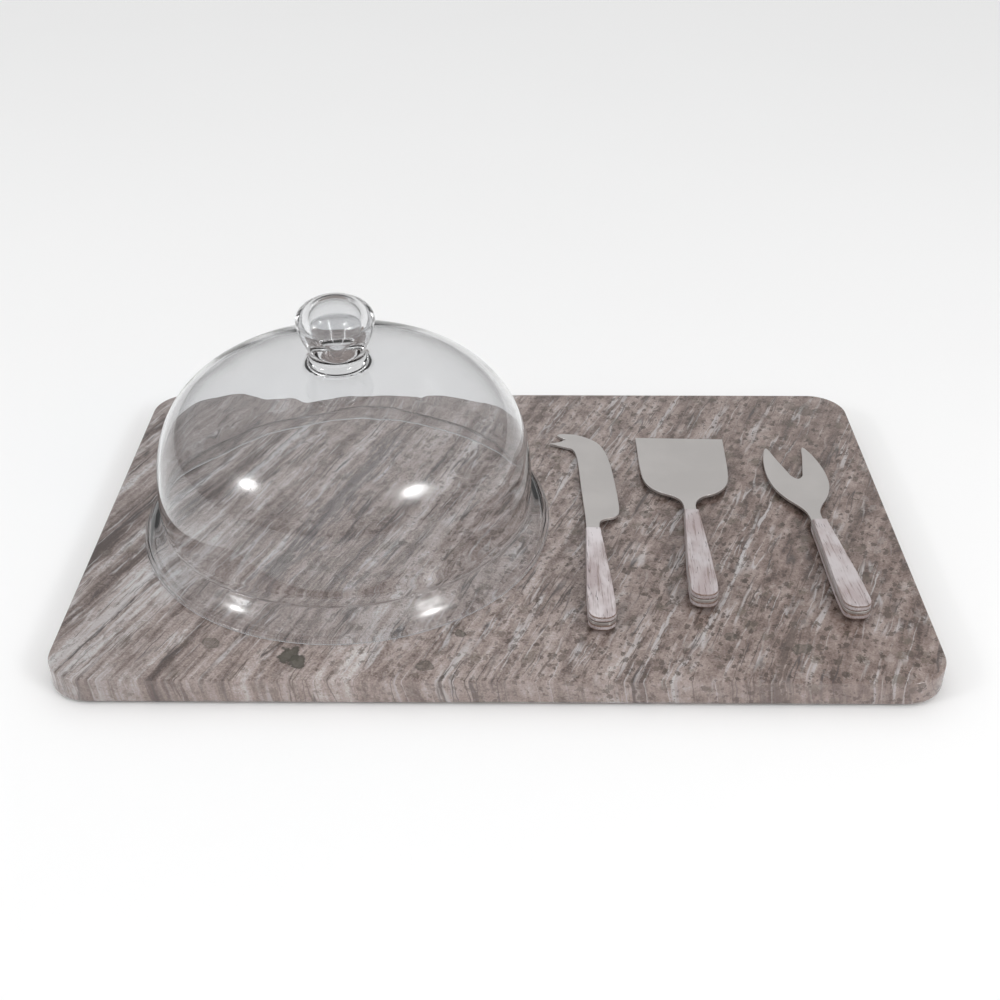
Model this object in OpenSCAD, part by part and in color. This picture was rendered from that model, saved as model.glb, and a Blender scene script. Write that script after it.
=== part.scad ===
// Cheese dome: a stone serving board on four small feet, a lift-off glass dome
// with a solid glass knob, and three cheese tools laid beside it.
// Millimetres. The origin is the middle of the footprint, on the surface the
// feet stand on. +X runs along the board, +Y away from the front edge, +Z up.

/* [Board] */
// Length of the slab along X
board_len = 480; // [420:5:600]
// Depth of the slab along Y
board_depth = 305; // [290:5:400]
// Thickness of the slab
board_t = 15; // [12:0.5:25]
// Radius of the slab's corners in plan
board_corner_r = 24; // [10:1:40]
// Size of the eased edge around the top and the underside
board_ease = 1; // [0.5:0.1:2]

/* [Feet] */
// Diameter of a foot where it is stuck to the slab
foot_d = 12; // [8:0.5:20]
// Height of a foot
foot_h = 2; // [1.5:0.1:4]
// Distance from the slab's edges to the middle of a foot
foot_inset = 34; // [26:1:60]

/* [Dome] */
// Middle of the dome on the board, along X
dome_x = -91; // [-100:1:-60]
// Middle of the dome on the board, along Y
dome_y = -2; // [-20:1:20]
// Outer radius of the dome's straight lower wall
dome_r = 111.3; // [90:0.1:115]
// Outer radius of the flared rim
rim_r = 122.5; // [118:0.1:128]
// Height of the flare, from the rim to the crease above it
flare_h = 17; // [12:0.5:24]
// Height of the domed wall above the crease
crown_h = 91.5; // [70:0.5:120]
// Thickness of the glass
glass_t = 3; // [2.5:0.1:4]

/* [Knob] */
// Radius of the knob's foot, where it is fused to the crown
knob_foot_r = 18.5; // [17:0.1:24]
// Radius of the knob's waist
knob_waist_r = 16; // [12:0.1:17]
// Largest radius of the knob
knob_r = 22.2; // [20:0.1:28]
// Height from the crown to the waist
knob_waist_h = 5; // [3:0.1:8]
// Height from the waist to the knob's widest ring
knob_neck_h = 20.5; // [14:0.5:28]
// Height from the widest ring to the knob's top
knob_crown_h = 13; // [9:0.5:18]

/* [Tool handles] */
// Length of a handle
handle_len = 92; // [80:1:110]
// Width of a handle near its butt
handle_butt_w = 15.4; // [15:0.1:20]
// Width of a handle at its front
handle_front_w = 8.6; // [8:0.1:12]
// Thickness of one wooden scale
scale_t = 3.6; // [3:0.1:5]
// Thickness of the steel
steel_t = 1.8; // [1.2:0.1:2.5]
// Diameter of a hidden pin through the tang
pin_d = 4; // [3:0.1:5]

/* [Knife] */
// Length of the knife's blade
knife_blade_len = 117; // [95:1:125]
// Middle of the knife's butt, along X
knife_x = 57.6; // [56:0.1:62]
// Middle of the knife's butt, along Y
knife_y = -114; // [-125:0.5:-105]
// Turn of the knife, anticlockwise from above
knife_turn = 0.5; // [-1:0.1:1]

/* [Spade] */
// Length of the spade's blade
spade_blade_len = 92; // [80:1:98]
// Middle of the spade's butt, along X
spade_x = 115.2; // [113:0.1:118]
// Middle of the spade's butt, along Y
spade_y = -94.5; // [-110:0.5:-85]
// Turn of the spade, anticlockwise from above
spade_turn = -1.5; // [-2:0.1:0]

/* [Fork] */
// Length of the fork's blade
fork_blade_len = 91; // [80:1:100]
// Middle of the fork's butt, along X
fork_x = 198.3; // [196:0.1:202]
// Middle of the fork's butt, along Y
fork_y = -104.5; // [-115:0.5:-95]
// Turn of the fork, anticlockwise from above
fork_turn = 3.1; // [2:0.1:4]

/* [Hidden] */

$fn = 96;
STONE = [0.62, 0.57, 0.54];
GLASS = [0.86, 0.9, 0.89, 0.45];
STEEL = [0.7, 0.69, 0.67];
WOOD = [0.88, 0.84, 0.81];
SILICONE = [0.9, 0.9, 0.88];

board_top = foot_h + board_t;
// What lies loose on the board is drawn this far above it
rest_gap = 0.2;

// Feet, from the middle of the board
foot_dx = board_len / 2 - foot_inset;
foot_dy = board_depth / 2 - foot_inset;
foot_taper = 1.2;

// The dome's wall is a curve between an ellipse and a rectangle: a third-power
// ellipse. Angles run from 0 at the crease to 90 at the crown's middle.
bulge = 2 / 3;
// Radius and depth of the round pad inside the crown, under the knob
pad_r = 17;
pad_depth = 1.2;
dome_steps = 28;
flare_steps = 10;
// Angles at which the wall reaches the knob's foot outside and the pad inside
foot_angle = acos(pow(knob_foot_r / dome_r, 1 / bulge));
pad_angle = acos(pow(pad_r / (dome_r - glass_t), 1 / bulge));
crown_z = flare_h + crown_h * pow(sin(foot_angle), bulge);

// Tools
butt_corner_r = 6.5;
pin_gap = 0.05;
pin_depth = 2.6;
pin_places = [24, 68];
spline_steps = 4;

// Blade outlines, in hundredths of the blade's length: x across the blade and y
// forward from the handle's front. Each list is one smooth stroke, and strokes
// meet at sharp corners.
knife_spine = [
    [-3.2, -1.7], [-3.1, 15.4], [-3.8, 45.3], [-4.2, 70.1], [-6.2, 82.1],
    [-11.1, 85.3], [-18.9, 89],
];
knife_lower_prong = [[-18.9, 89], [-13.7, 90.6], [-9.6, 93.6]];
knife_upper_prong = [[-9.6, 93.6], [-12.4, 95.7], [-14.5, 98.2]];
knife_edge = [
    [-14.5, 98.2], [-13.2, 99.7], [-9.2, 100], [-3.4, 98.8], [3.6, 94.4],
    [8.9, 88], [12.1, 76.9], [13.9, 61.5], [15, 36.8], [15, 18.8],
    [12.8, 12.8], [7.1, 10.3], [4.3, 7.7], [3.5, 1.7], [3.2, -1.7],
];
spade_side = [
    [4.1, -2.2], [4.5, 11.4], [9.7, 19.6], [19.8, 25.2], [27.4, 35.5],
    [30.4, 54.3], [31.5, 100],
];
fork_side = [
    [4.1, -2.2], [4.4, 11], [7.9, 20.3], [14.7, 31.9], [19.6, 46.2],
    [20.9, 63.7], [18.9, 82.9], [15.4, 96.4], [13.2, 100],
];
fork_slot = [
    [13.2, 100], [11.6, 95.6], [9.7, 85.1], [5.5, 66.6], [3.8, 59.8],
    [0, 55.8],
    [-3.8, 59.8], [-5.5, 66.6], [-9.7, 85.1], [-11.6, 95.6], [-13.2, 100],
];

// ---- curves -----------------------------------------------------------------

// A cubic Bezier curve as n + 1 points
function bezier(a, b, c, d, n) = [
    for (i = [0:n])
        let (t = i / n, s = 1 - t)
            s * s * s * a + 3 * s * s * t * b + 3 * s * t * t * c + t * t * t * d
];

// An arc about a centre as n + 1 points
function arc(centre, r, from, to, n) = [
    for (i = [0:n])
        let (a = from + (to - from) * i / n) centre + r * [cos(a), sin(a)]
];

// The point a fraction t along the smooth stretch from b to c, with a and d as
// the points on either side
function between(a, b, c, d, t) =
    0.5 * (2 * b + (c - a) * t + (2 * a - 5 * b + 4 * c - d) * t * t
        + (3 * b - 3 * c + d - a) * t * t * t);

// A smooth curve through every point of a list
function spline(p) =
    let (last = len(p) - 1)
        concat(
            [
                for (i = [0:last - 1], k = [0:spline_steps - 1])
                    between(
                        p[max(i - 1, 0)], p[i], p[i + 1], p[min(i + 2, last)],
                        k / spline_steps
                    )
            ],
            [p[last]]
        );

function mirrored(p) = [for (i = [len(p) - 1:-1:0]) [-p[i][0], p[i][1]]];

// ---- board ------------------------------------------------------------------

// Half of the slab's cross-section, half as wide as its argument says
function slab_half(w) = [
    [0, 0], [w - board_ease, 0], [w, board_ease], [w, board_t - board_ease],
    [w - board_ease, board_t], [0, board_t],
];

// A bar of the slab's section, w wide along X and l long along Y
module slab_bar(w, l) {
    rotate([90, 0, 0])
        linear_extrude(l, center = true)
            polygon(concat(slab_half(w / 2), mirrored(slab_half(w / 2))));
}

module marble_board() {
    straight_x = board_len - 2 * board_corner_r;
    straight_y = board_depth - 2 * board_corner_r;
    color(STONE)
        translate([0, 0, foot_h]) {
            slab_bar(board_len, straight_y);
            rotate([0, 0, 90])
                slab_bar(board_depth, straight_x);
            for (sx = [-1, 1], sy = [-1, 1])
                translate([sx * straight_x / 2, sy * straight_y / 2, 0])
                    rotate_extrude()
                        polygon(slab_half(board_corner_r));
        }
}

module foot(sx, sy) {
    color(SILICONE)
        translate([sx * foot_dx, sy * foot_dy, 0])
            cylinder(h = foot_h, r1 = foot_d / 2 - foot_taper, r2 = foot_d / 2);
}

// ---- dome -------------------------------------------------------------------

// The domed wall from the crease up to an angle, for a radius and a height
function crown_curve(r, h, angle) = [
    for (i = [0:dome_steps])
        let (a = angle * i / dome_steps)
            [r * pow(cos(a), bulge), flare_h + h * pow(sin(a), bulge)]
];

// The flare from the rim's lip up to the crease: a low rounded shoulder
function flare_curve(lip_x, wall_x, lip_z) =
    bezier(
        [lip_x, lip_z], [lip_x - 0.3, lip_z + 5.5],
        [wall_x + 4, flare_h - 2.6], [wall_x, flare_h],
        flare_steps
    );

module on_board_at(x, y) {
    translate([x, y, board_top + rest_gap])
        children();
}

module dome_shell() {
    lip_r = (glass_t + 0.2) / 2;
    lip_x = rim_r - lip_r;
    inner_r = dome_r - glass_t;
    inner_h = crown_h - glass_t;
    crown = crown_curve(dome_r, crown_h, foot_angle);
    inside = crown_curve(inner_r, inner_h, pad_angle);
    pad_z = inside[dome_steps][1] - pad_depth;
    outer_flare = flare_curve(rim_r, dome_r, lip_r);
    inner_flare = flare_curve(rim_r - 2 * lip_r, inner_r, lip_r);
    profile = concat(
        arc([lip_x, lip_r], lip_r, -180, 0, 10),
        [for (i = [1:flare_steps - 1]) outer_flare[i]],
        crown,
        [[0, crown_z], [0, pad_z], [pad_r - 0.6, pad_z]],
        [for (i = [dome_steps:-1:0]) inside[i]],
        [for (i = [flare_steps - 1:-1:1]) inner_flare[i]]
    );
    color(GLASS)
        on_board_at(dome_x, dome_y)
            rotate_extrude()
                polygon(profile);
}

module dome_knob() {
    waist_z = crown_z + knob_waist_h;
    wide_z = waist_z + knob_neck_h;
    foot_curve = bezier(
        [knob_foot_r, crown_z], [knob_waist_r + 0.9, crown_z + 0.1 * knob_waist_h],
        [knob_waist_r, crown_z + 0.4 * knob_waist_h], [knob_waist_r, waist_z], 8
    );
    neck_curve = bezier(
        [knob_waist_r, waist_z], [knob_waist_r, waist_z + 0.2 * knob_neck_h],
        [knob_r, waist_z + 0.55 * knob_neck_h], [knob_r, wide_z], 12
    );
    top_curve = [
        for (i = [0:16])
            let (a = 90 * i / 16)
                [knob_r * cos(a), wide_z + knob_crown_h * sin(a)]
    ];
    color(GLASS)
        on_board_at(dome_x, dome_y)
            rotate_extrude()
                polygon(concat(
                    [[0, crown_z]],
                    foot_curve,
                    [for (i = [1:11]) neck_curve[i]],
                    top_curve
                ));
}

// ---- tools ------------------------------------------------------------------

// Outline of a handle and of the tang inside it, from the butt at y = 0
function handle_side() =
    let (w = handle_butt_w / 2, f = handle_front_w / 2, r = butt_corner_r)
        concat(
            arc([w - r, r], r, -90, 0, 10),
            [
                for (i = [1:12])
                    bezier(
                        [w, r], [w + 0.4, 0.33 * handle_len],
                        [f + 1.3, 0.65 * handle_len], [f, handle_len], 12
                    )[i]
            ]
        );

function handle_outline() = concat(handle_side(), mirrored(handle_side()));

// A blade's outline in millimetres, moved to the front of its handle
function blade_outline(p, length) = [
    for (q = p) [q[0] * length / 100, q[1] * length / 100 + handle_len]
];

function knife_outline() = reversed(concat(
    spline(knife_spine), spline(knife_lower_prong),
    spline(knife_upper_prong), spline(knife_edge)
));

function spade_outline() = concat(spline(spade_side), mirrored(spline(spade_side)));

function fork_outline() = concat(
    spline(fork_side), spline(fork_slot), mirrored(spline(fork_side))
);

// Lays a tool on the board. It leans forward over the front end of its handle's
// underside until the blade's tip touches the board.
module laid(x, y, turn, blade_len) {
    pivot_y = handle_len - scale_t;
    lean = atan(scale_t / (blade_len + scale_t));
    on_board_at(x, y)
        rotate([0, 0, turn])
            translate([0, pivot_y, 0])
                rotate([-lean, 0, 0])
                    translate([0, -pivot_y, 0])
                        children();
}

module pin_holes(z, h) {
    for (y = pin_places)
        translate([0, y, z])
            cylinder(h = h, r = pin_d / 2 + pin_gap);
}

// The points of a list from last to first
function reversed(p) = [for (i = [len(p) - 1:-1:0]) p[i]];

// One steel plate: the blade and the tang between the two scales
module steel(outline, length) {
    color(STEEL)
        translate([0, 0, scale_t])
            difference() {
                linear_extrude(steel_t) {
                    polygon(handle_outline());
                    polygon(blade_outline(outline, length));
                }
                pin_holes(-1, steel_t + 2);
            }
}

// Side view of a scale: flat outside, with its front rounded to the steel
function scale_side() = concat(
    [[-1, scale_t], [-1, 0]],
    arc([handle_len - scale_t, scale_t], scale_t, -90, 0, 8)
);

module lower_scale() {
    color(WOOD)
        difference() {
            intersection() {
                linear_extrude(scale_t)
                    polygon(handle_outline());
                rotate([90, 0, 90])
                    linear_extrude(2 * handle_butt_w, center = true)
                        polygon(scale_side());
            }
            pin_holes(scale_t - pin_depth, pin_depth + 1);
        }
}

module upper_scale() {
    translate([0, 0, 2 * scale_t + steel_t])
        mirror([0, 0, 1])
            lower_scale();
}

module pins() {
    reach = pin_depth - 0.1;
    color(STEEL)
        for (y = pin_places)
            translate([0, y, scale_t - reach])
                cylinder(h = steel_t + 2 * reach, r = pin_d / 2);
}

module knife_laid() {
    laid(knife_x, knife_y, knife_turn, knife_blade_len)
        children();
}

module spade_laid() {
    laid(spade_x, spade_y, spade_turn, spade_blade_len)
        children();
}

module fork_laid() {
    laid(fork_x, fork_y, fork_turn, fork_blade_len)
        children();
}

// ---- the parts --------------------------------------------------------------

marble_board();
foot(-1, -1);  // foot_front_left
foot(1, -1);  // foot_front_right
foot(-1, 1);  // foot_back_left
foot(1, 1);  // foot_back_right
dome_shell();
dome_knob();
knife_laid() steel(knife_outline(), knife_blade_len);  // knife_blade
knife_laid() upper_scale();  // knife_upper_scale
knife_laid() lower_scale();  // knife_lower_scale
knife_laid() pins();  // knife_pins
spade_laid() steel(spade_outline(), spade_blade_len);  // spade_blade
spade_laid() upper_scale();  // spade_upper_scale
spade_laid() lower_scale();  // spade_lower_scale
spade_laid() pins();  // spade_pins
fork_laid() steel(fork_outline(), fork_blade_len);  // fork_blade
fork_laid() upper_scale();  // fork_upper_scale
fork_laid() lower_scale();  // fork_lower_scale
fork_laid() pins();  // fork_pins
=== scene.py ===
"""Looks of a cheese dome: a marble board, a blown glass dome and three cheese tools.

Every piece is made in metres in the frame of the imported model, and every place and
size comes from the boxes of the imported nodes. The marble slab, the silicone bumpers,
the glass dome, the steel blades and the wooden scales are modelled here and stand for
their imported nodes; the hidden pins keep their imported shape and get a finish.
"""

import logging
import math
from collections.abc import Callable, Iterable
from dataclasses import dataclass, field
from enum import Enum

import bmesh
import bpy
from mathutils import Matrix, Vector, noise


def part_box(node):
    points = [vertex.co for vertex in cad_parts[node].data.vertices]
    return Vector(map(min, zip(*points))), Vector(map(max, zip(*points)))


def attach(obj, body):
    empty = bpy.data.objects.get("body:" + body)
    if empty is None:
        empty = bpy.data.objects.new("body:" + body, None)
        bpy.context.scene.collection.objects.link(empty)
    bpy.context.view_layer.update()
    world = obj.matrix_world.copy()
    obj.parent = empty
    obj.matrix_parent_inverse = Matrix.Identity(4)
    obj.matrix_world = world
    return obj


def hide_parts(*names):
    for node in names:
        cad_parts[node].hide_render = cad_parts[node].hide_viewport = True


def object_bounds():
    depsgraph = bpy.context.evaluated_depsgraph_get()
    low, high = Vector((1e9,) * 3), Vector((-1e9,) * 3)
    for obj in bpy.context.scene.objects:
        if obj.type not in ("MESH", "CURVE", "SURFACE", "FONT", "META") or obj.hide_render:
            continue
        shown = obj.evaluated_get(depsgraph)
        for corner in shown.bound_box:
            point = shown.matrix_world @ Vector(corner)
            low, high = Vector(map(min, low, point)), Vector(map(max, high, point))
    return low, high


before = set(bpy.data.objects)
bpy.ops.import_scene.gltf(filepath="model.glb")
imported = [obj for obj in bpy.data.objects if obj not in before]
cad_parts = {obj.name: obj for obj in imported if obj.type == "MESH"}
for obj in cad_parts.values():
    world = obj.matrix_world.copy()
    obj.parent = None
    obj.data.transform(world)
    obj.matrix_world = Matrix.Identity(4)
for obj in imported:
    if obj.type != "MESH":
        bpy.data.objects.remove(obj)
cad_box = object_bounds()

log = logging.getLogger("cheese_dome")

MM = 0.001
Colour = tuple[float, float, float]


# ---- shader values and nodes -------------------------------------------------


class Value:
    """A shader socket that can be used in ordinary arithmetic."""

    def __init__(self, recipe: "Recipe", socket: bpy.types.NodeSocket) -> None:
        """Wrap a socket of a recipe.

        Args:
            recipe: the recipe whose nodes the arithmetic is added to.
            socket: the output socket that carries the value.
        """
        self.recipe = recipe
        self.socket = socket

    def __add__(self, other: "Value | float") -> "Value":
        """Return the sum."""
        return self.recipe.maths("ADD", self, other)

    __radd__ = __add__

    def __sub__(self, other: "Value | float") -> "Value":
        """Return this value less another."""
        return self.recipe.maths("SUBTRACT", self, other)

    def __rsub__(self, other: "Value | float") -> "Value":
        """Return another value less this one."""
        return self.recipe.maths("SUBTRACT", other, self)

    def __mul__(self, other: "Value | float") -> "Value":
        """Return the product."""
        return self.recipe.maths("MULTIPLY", self, other)

    __rmul__ = __mul__

    def __truediv__(self, other: "Value | float") -> "Value":
        """Return this value divided by another."""
        return self.recipe.maths("DIVIDE", self, other)

    def __rtruediv__(self, other: "Value | float") -> "Value":
        """Return another value divided by this one."""
        return self.recipe.maths("DIVIDE", other, self)

    def __abs__(self) -> "Value":
        """Return the size of the value without its sign."""
        return self.recipe.maths("ABSOLUTE", self)


class Recipe:
    """The node tree of a material, a lamp or the world, built up by method calls."""

    def __init__(self, owner: "bpy.types.ID | str") -> None:
        """Start with an empty tree.

        Args:
            owner: a lamp or a world, or the name of a new material.
        """
        if isinstance(owner, str):
            owner = bpy.data.materials.new(owner)
        self.owner = owner
        self.owner.use_nodes = True
        self.tree = self.owner.node_tree
        self.tree.nodes.clear()

    def node(
        self,
        kind: str,
        settings: dict[str, object] | None = None,
        inputs: dict[str | int, object] | None = None,
    ) -> bpy.types.Node:
        """Add one node.

        Args:
            kind: the node's type.
            settings: properties to set first; "stops" fills a colour ramp.
            inputs: values or links, by socket name or number.

        Returns:
            The new node.
        """
        made = self.tree.nodes.new(kind)
        for key, value in (settings or {}).items():
            if key == "stops":
                self._fill_ramp(made.color_ramp, value)
            else:
                setattr(made, key, value)
        for key, value in (inputs or {}).items():
            self.feed(made.inputs[key], value)
        return made

    def feed(self, socket: bpy.types.NodeSocket, value: object) -> None:
        """Link a value to a socket, or set the socket to a number or colour.

        Args:
            socket: the input socket.
            value: a Value, a socket, a number or a tuple of numbers.
        """
        if isinstance(value, Value):
            self.tree.links.new(value.socket, socket)
        elif isinstance(value, bpy.types.NodeSocket):
            self.tree.links.new(value, socket)
        elif isinstance(value, tuple) and socket.type == "RGBA" and len(value) == 3:
            socket.default_value = (*value, 1.0)
        else:
            socket.default_value = value

    @staticmethod
    def _fill_ramp(
        ramp: bpy.types.ColorRamp, stops: Iterable[tuple[float, Colour]]
    ) -> None:
        """Give a colour ramp its stops.

        Args:
            ramp: the ramp.
            stops: pairs of place and colour, from low to high.
        """
        wanted = list(stops)
        while len(ramp.elements) < len(wanted):
            ramp.elements.new(0.5)
        for element, (place, colour) in zip(ramp.elements, wanted):
            element.position = place
            element.color = (*colour, 1.0)

    def maths(self, operation: str, *values: "Value | float") -> Value:
        """Add a Math node and return its result."""
        made = self.node(
            "ShaderNodeMath", {"operation": operation}, dict(enumerate(values))
        )
        return Value(self, made.outputs[0])

    def split(self, vector: bpy.types.NodeSocket) -> tuple[Value, Value, Value]:
        """Return the three parts of a vector."""
        made = self.node("ShaderNodeSeparateXYZ", inputs={0: vector})
        x, y, z = (Value(self, out) for out in made.outputs)
        return x, y, z

    def place(self) -> tuple[Value, Value, Value]:
        """Return x, y and z of the point being shaded, in metres."""
        return self.split(self.node("ShaderNodeTexCoord").outputs["Object"])

    def point(
        self, x: "Value | float", y: "Value | float", z: "Value | float"
    ) -> bpy.types.NodeSocket:
        """Return a vector made of three values."""
        made = self.node("ShaderNodeCombineXYZ", inputs={0: x, 1: y, 2: z})
        return made.outputs[0]

    def noise(
        self,
        at: bpy.types.NodeSocket,
        scale: float = 1.0,
        detail: float = 3.0,
        roughness: float = 0.5,
    ) -> Value:
        """Return fractal noise, about 0.5 on average.

        Args:
            at: where the noise is read.
            scale: waves in a unit of length.
            detail: octaves.
            roughness: how strong the small octaves are.
        """
        made = self.node(
            "ShaderNodeTexNoise",
            inputs={
                "Vector": at,
                "Scale": scale,
                "Detail": detail,
                "Roughness": roughness,
            },
        )
        return Value(self, made.outputs[0])

    def ease(self, value: "Value | float", start: float, end: float) -> Value:
        """Return 0 at start and 1 at end, eased and held outside them."""
        made = self.node(
            "ShaderNodeMapRange",
            {"interpolation_type": "SMOOTHSTEP"},
            {0: value, 1: start, 2: end, 3: 0.0, 4: 1.0},
        )
        return Value(self, made.outputs[0])

    def ramp(
        self, value: Value, stops: Iterable[tuple[float, Colour]]
    ) -> bpy.types.NodeSocket:
        """Return the colour that a value picks from a list of stops."""
        made = self.node("ShaderNodeValToRGB", {"stops": stops}, {0: value})
        return made.outputs[0]

    def blend(
        self,
        share: "Value | float",
        under: "bpy.types.NodeSocket | Colour",
        over: "bpy.types.NodeSocket | Colour",
        way: str = "MIX",
    ) -> bpy.types.NodeSocket:
        """Return two colours mixed.

        Args:
            share: how much of the second colour shows.
            under: the first colour.
            over: the second colour.
            way: the blend type.
        """
        made = self.node(
            "ShaderNodeMix",
            {"data_type": "RGBA", "blend_type": way},
            {0: share, 6: under, 7: over},
        )
        return made.outputs[2]

    def bump(
        self, height: Value, depth: float, strength: float = 1.0
    ) -> bpy.types.NodeSocket:
        """Return a normal bent by a height in units of depth metres."""
        made = self.node(
            "ShaderNodeBump",
            inputs={"Strength": strength, "Distance": depth, "Height": height},
        )
        return made.outputs[0]

    def principled(self, **sockets: object) -> bpy.types.Node:
        """Add a Principled shader with sockets given by name, spaces as underlines."""
        named = {key.replace("_", " "): value for key, value in sockets.items()}
        return self.node("ShaderNodeBsdfPrincipled", inputs=named)

    def finish(self, shader: bpy.types.NodeSocket) -> bpy.types.Material:
        """Send a shader to the material's output and return the material."""
        self.node("ShaderNodeOutputMaterial", inputs={"Surface": shader})
        return self.owner


# ---- finishes ----------------------------------------------------------------


@dataclass(frozen=True)
class Vein:
    """A vein that runs the whole depth of the slab.

    Attributes:
        across: its place across the grain, in mm from the middle of the board.
        half_width: half its width, in mm.
        strength: how much of its colour shows.
        colour: its colour.
        start: where along the grain it fades in, in mm.
        end: where along the grain it fades out, in mm.
    """

    across: float
    half_width: float
    strength: float
    colour: Colour
    start: float = -300.0
    end: float = 300.0


@dataclass(frozen=True)
class Streaks:
    """Noise drawn out along the grain.

    Attributes:
        size: the breadth of a streak, in mm.
        stretch: how many times longer it is along the grain.
        detail: octaves.
        seed: moves the pattern, so that two of them differ.
    """

    size: float
    stretch: float
    detail: float
    seed: float


@dataclass(frozen=True)
class Thread:
    """Thin broken lines along the grain.

    Attributes:
        streaks: the noise whose middle value draws the lines.
        colour: their colour.
        strength: how much of it shows.
    """

    streaks: Streaks
    colour: Colour
    strength: float


@dataclass(frozen=True)
class Pebble:
    """A rounded dark inclusion in the stone.

    Attributes:
        x: its place along the board, in mm.
        y: its place from front to back, in mm.
        radius: its radius, in mm.
        strength: how much of its colour shows.
    """

    x: float
    y: float
    radius: float
    strength: float


@dataclass(frozen=True)
class Speckle:
    """A crowd of small marks in the stone.

    Attributes:
        spacing: mm from one to the next where every cell has one.
        share: the share of cells that have one.
        size: the size of the largest, as a share of the spacing.
        stretch: how much longer it is along the grain.
        strength: how much of its colour shows.
        colour: its colour.
        seed: moves the crowd.
    """

    spacing: float
    share: float
    size: float
    stretch: float
    strength: float
    colour: Colour
    seed: float


MILK: Colour = (0.5, 0.485, 0.487)
SOOT: Colour = (0.05, 0.042, 0.042)
UMBER: Colour = (0.07, 0.05, 0.042)
SLATE: Colour = (0.115, 0.105, 0.108)
OLIVE: Colour = (0.06, 0.055, 0.041)
DARK_OLIVE: Colour = (0.04, 0.035, 0.028)


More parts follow.
